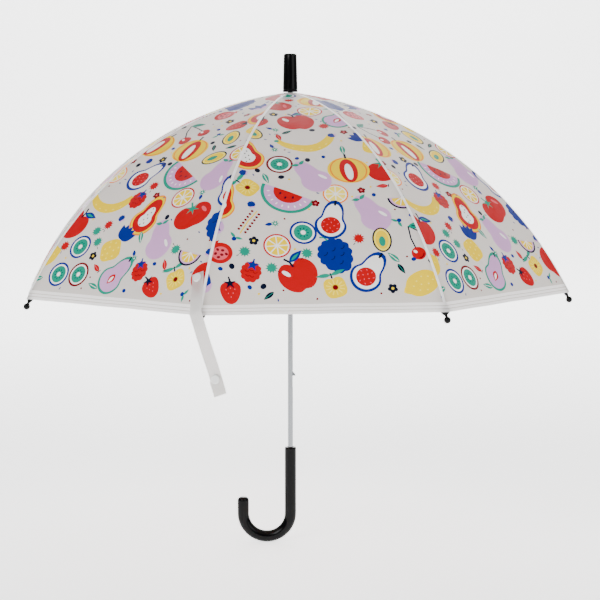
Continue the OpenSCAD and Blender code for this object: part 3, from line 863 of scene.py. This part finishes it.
def cut_panel(seed):
    """A flat panel as points, triangles and each triangle's ink."""
    spots, edges = [], []
    levels = sorted(set([0.0, split_at, film_end, film_end - HEM]
                        + [film_end - d for pair in HEM_LINES for d in pair]
                        + [RULING * k for k in range(1, int(film_end / RULING))]))
    levels = [q for k, q in enumerate(levels) if k == 0 or q - levels[k - 1] > 0.05]
    last = None
    for q in levels:
        reach = float(half_width(q))
        inner = max(reach - SEAM_AND_HIGHLIGHT, reach * 0.4)
        count = max(1, round(inner / 9))
        row = ([-reach] + [-inner + inner * k / count for k in range(count)] + [0.0]
               + [inner * (k + 1) / count for k in range(count)] + [reach])
        first = len(spots)
        spots += [(p, q) for p in row]
        numbers = list(range(first, len(spots)))
        edges += list(zip(numbers, numbers[1:]))
        marks = (numbers[0], numbers[1], numbers[len(row) // 2], numbers[-2], numbers[-1])
        if last:
            edges += list(zip(last, marks))
        last = marks
    shapes = place_print(seed)
    for _, ring in shapes:
        first = len(spots)
        spots += ring
        edges += [(first + k, first + (k + 1) % len(ring)) for k in range(len(ring))]
    mesh = delaunay_2d_cdt([Vector(spot) for spot in spots], edges, [], 0, 1e-3, False)
    flat = np.array([tuple(point) for point in mesh[0]])
    triangles = np.array([tuple(triangle) for triangle in mesh[2]])
    middles = flat[triangles].mean(axis=1)
    inks = np.full(len(triangles), ink_number["clear"])
    for ink, ring in shapes:
        inks[inside(ring, middles)] = ink_number[ink]
    reach = half_width(middles[:, 1])
    beside = reach - np.abs(middles[:, 0])
    keep = (beside > 0) & (middles[:, 1] > 0) & (middles[:, 1] < film_end)
    below = film_end - middles[:, 1]
    # the strip beside each rib takes the near-white ink: seam tone and a painted highlight along the ridge
    inks[beside < np.minimum(SEAM_AND_HIGHLIGHT, 0.6 * reach)] = ink_number["seam"]
    inks[below < HEM] = ink_number["hem"]
    for low, high in HEM_LINES:
        inks[(below > low) & (below < high)] = ink_number["clear"]
    return flat, triangles[keep], inks[keep], middles[keep]


def film_material(name, colour, glow, roughness):
    """Frosted film: a soft gloss, and a part of the light from behind it comes through."""
    material, tree, shader = new_material(name, colour, roughness)
    shader.inputs["Specular IOR Level"].default_value = 0.1
    frost = add_node(tree, "ShaderNodeTexNoise",
                     {"Vector": stretched(tree, (1600, 1600, 1600)), "Scale": 1.0, "Detail": 3.0})
    roughen(tree, shader, frost.outputs["Fac"], roughness - 0.05, roughness + 0.08)
    waves = add_node(tree, "ShaderNodeTexNoise",
                     {"Vector": stretched(tree, (34, 34, 22)), "Scale": 1.0, "Detail": 2.5,
                      "Distortion": 0.6})
    bump(tree, shader, waves.outputs["Fac"], 0.0012)
    through = add_node(tree, "ShaderNodeBsdfTranslucent", {"Color": linear(colour)})
    mix = add_node(tree, "ShaderNodeMixShader", {"Fac": glow, 1: shader.outputs[0],
                                                 2: through.outputs[0]})
    tree.links.new(mix.outputs[0], tree.nodes["Material Output"].inputs["Surface"])
    return material


film_materials = []
for ink, colour in INKS.items():
    glow, roughness = {"clear": (0.4, 0.38), "seam": (0.3, 0.3), "hem": (0.35, 0.3)}.get(ink, (0.15, 0.42))
    film_materials.append(film_material(f"film_{ink}", colour, glow, roughness))

LAYOUT_SEEDS = (11, 29)
layouts = [cut_panel(seed) for seed in LAYOUT_SEEDS]
panel_of_rib = {rib: ((rib - 2) % RIBS + 1, rib) for rib in range(1, RIBS + 1)}


def film_piece(rib, part):
    """The film on one rib, above (part 0) or below (part 1) its rivet."""
    places, flats, corners, inks, normals = [], [], [], [], []
    known = {}
    for side, panel in enumerate(panel_of_rib[rib]):
        flat, triangles, ink, middles = layouts[panel % 2]
        mine = ((middles[:, 0] > 0) == (side == 0)) & ((middles[:, 1] > split_at) == (part == 1))
        p, q = flat[:, 0], flat[:, 1]
        spots = in_space(panel, p, q)
        turned_out = film_normals(panel, p, q)
        for triangle, number in zip(triangles[mine][:, ::-1], ink[mine]):
            corner = []
            for point in triangle:
                key = tuple(np.round(spots[point], 6))
                if key not in known:
                    known[key] = len(places)
                    places.append(spots[point])
                corner.append(known[key])
                normals.append(turned_out[point])
                flats.append((0.01 + 0.5 * side + 0.47 * abs(p[point]) / 145,
                              0.02 + 0.96 * q[point] / film_end))
            corners.append(corner)
            inks.append(number)
    mesh = bpy.data.meshes.new(f"film_{rib}_{part}")
    mesh.from_pydata(places, [], corners)
    for material in film_materials:
        mesh.materials.append(material)
    mesh.polygons.foreach_set("material_index", np.array(inks, dtype=np.int32))
    mesh.polygons.foreach_set("use_smooth", np.ones(len(inks), dtype=bool))
    layer = mesh.uv_layers.new(name="OFBake")
    layer.data.foreach_set("uv", np.array(flats, dtype=np.float32).ravel())
    mesh.update()
    mesh.normals_split_custom_set([tuple(n) for n in normals])
    piece = bpy.data.objects.new(f"film_{'upper' if part == 0 else 'lower'}_{rib}", mesh)
    bpy.context.collection.objects.link(piece)
    return piece


for rib in range(1, RIBS + 1):
    for part in (0, 1):
        film = film_piece(rib, part)
        start, end = (0.0, split_at) if part == 0 else (split_at, film_end)
        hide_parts(f"canopy_gore_{rib}")
        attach(film, f"rib_inner_{rib}" if part == 0 else f"rib_outer_{rib}")
        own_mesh(film)


# ---- Strap and snaps ----
# A strip of the same film, unprinted, that is snapped to the canopy above the hem and hangs down at a
# lean. Its end is folded back. The snaps are natural white plastic. Lengths here are in millimetres.
STRAP_W = 15.7 * MM
STRAP_LEAN = math.radians(24)
STRAP_TOP = 6.8
KNEE_OUT = 5.8
KNEE_DOWN = 48.0
FACE = 1.3
FLAT_DOWN = 6.3
WAVE = 1.2
WAVE_TURN = 4.5
FOLD = 0.5
CURL = 0.35
STRAP_LENGTH = 150.0
TAB = 17.0
snap_place = Vector(joints["strap_hang"]["pos_m"])
swing = Vector(joints["strap_swing"]["axis"])
panel_slope = math.acos(abs(swing.z))
at_snap = (Matrix.Translation(snap_place)
           @ Matrix.Rotation(first_turn - HALF_STEP, 4, "Z")
           @ Matrix.Rotation(panel_slope - math.pi / 2, 4, "Y"))
down = Vector((-math.cos(panel_slope), -math.sin(panel_slope)))
out = Vector((-down.y, down.x))
drop = STRAP_LENGTH - STRAP_TOP - KNEE_DOWN
flat_end = Vector((FACE, -FLAT_DOWN))
knee = Vector((KNEE_OUT, -KNEE_DOWN))
profile = [Vector((FACE, STRAP_TOP)).lerp(flat_end, k / 4) for k in range(5)]
profile += [flat_end.lerp(knee, k / 10) for k in range(1, 11)]
profile += [knee + down * (drop * k / 30) + out * (WAVE * math.sin(k / WAVE_TURN) * k / 30)
            for k in range(1, 31)]
end = profile[-1]
profile.append(end + (out + down) * FOLD)
profile += [end + out * (2 * FOLD) - down * (TAB * k / 5) for k in range(6)]
places, corners = [], []
ACROSS = 8
for k, (x, z) in enumerate(profile):
    for n in range(ACROSS + 1):
        y = STRAP_W * (n / ACROSS - 0.5)
        curl = CURL * MM * (2 * n / ACROSS - 1) ** 2 * min(1, k / 12)
        places.append(at_snap @ Matrix.Rotation(STRAP_LEAN, 4, "X") @ Vector((x * MM + curl, y, z * MM)))
        if k and n:
            here = k * (ACROSS + 1) + n
            corners.append((here - 1, here, here - ACROSS - 1, here - ACROSS - 2))
mesh = bpy.data.meshes.new("strap_film")
mesh.from_pydata(places, [], corners)
strap = bpy.data.objects.new("strap_film", mesh)
bpy.context.collection.objects.link(strap)
give(strap, film_material("film_strap", "#E4E2DF", 0.45, 0.22), 60)
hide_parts("strap")
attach(strap, "strap")
snap_white = new_material("natural_white_nylon", "#E9EAE8", 0.3)[0]
dress("strap_snap", snap_white)
dress("canopy_snap", snap_white)


# ---- Studio ----
# A pale floor that curves up behind, large soft lights, and the camera.
FLOOR = (14, 8)
CURVE_R = 1.5
CURVE_STEPS = 8
WALL_H = 4
PAPER_GLOW = 1.9
ROOM_GLOW = 0.24
LENS = 99.8
CAMERA_AT = (-0.0006, -2.187, 0.4794)
CAMERA_DOWN = 6.12
CAMERA_ASIDE = -0.35
deselect()
floor_z = handle_low[2]
bpy.ops.mesh.primitive_plane_add(size=1, location=(0, 0, floor_z))
floor = bpy.context.object
floor.name = "studio_floor"
bpy.ops.object.mode_set(mode="EDIT")
bpy.ops.transform.resize(value=(*FLOOR, 1), center_override=(0, 0, floor_z))
select_points(lambda co: co.y > 0)
for k in range(1, CURVE_STEPS + 1):
    a = math.pi / 2 * k / CURVE_STEPS
    b = math.pi / 2 * (k - 1) / CURVE_STEPS
    bpy.ops.mesh.extrude_region_move(TRANSFORM_OT_translate={"value": (
        0, CURVE_R * (math.sin(a) - math.sin(b)), CURVE_R * (math.cos(b) - math.cos(a)))})
bpy.ops.mesh.extrude_region_move(TRANSFORM_OT_translate={"value": (0, 0, WALL_H)})
bpy.ops.object.mode_set(mode="OBJECT")
white_paper, tree, shader = new_material("white_paper", "#FAFAFA", 0.9)
shader.inputs["Emission Color"].default_value = (1, 1, 1, 1)
shader.inputs["Emission Strength"].default_value = PAPER_GLOW
give(floor, white_paper, 60)


def soft_light(name, size, watts, place, aim):
    """A square soft light that points at a place."""
    light = bpy.data.lights.new(name, "AREA")
    light.size = size
    light.energy = watts
    lamp = bpy.data.objects.new(name, light)
    bpy.context.collection.objects.link(lamp)
    lamp.location = place
    lamp.rotation_euler = (Vector(aim) - Vector(place)).to_track_quat("-Z", "Y").to_euler()
    return lamp


key = soft_light("key_light", 1.4, 58, (-1.5, -2.4, 1.7), (0, 0, 0.3))
fill = soft_light("fill_light", 1.8, 28, (2.1, -1.9, 1.1), (0, 0, 0.3))
back = soft_light("back_light", 1.8, 30, (0.3, 1.3, 2.2), (0, 0.2, 0.4))
wall = soft_light("wall_light", 3.0, 240, (0, 2.4, 3.0), (0, 6.5, 0.6))
world = bpy.data.worlds.new("studio_world")
bpy.context.scene.world = world
world.use_nodes = True
world.node_tree.nodes["Background"].inputs["Color"].default_value = (1, 1, 1, 1)
world.node_tree.nodes["Background"].inputs["Strength"].default_value = ROOM_GLOW

view = bpy.data.cameras.new("camera")
view.lens = LENS
view.sensor_width = 36
camera = bpy.data.objects.new("camera", view)
bpy.context.collection.objects.link(camera)
camera.location = CAMERA_AT
camera.rotation_euler = (math.radians(90 - CAMERA_DOWN), 0, math.radians(CAMERA_ASIDE))
bpy.context.scene.camera = camera
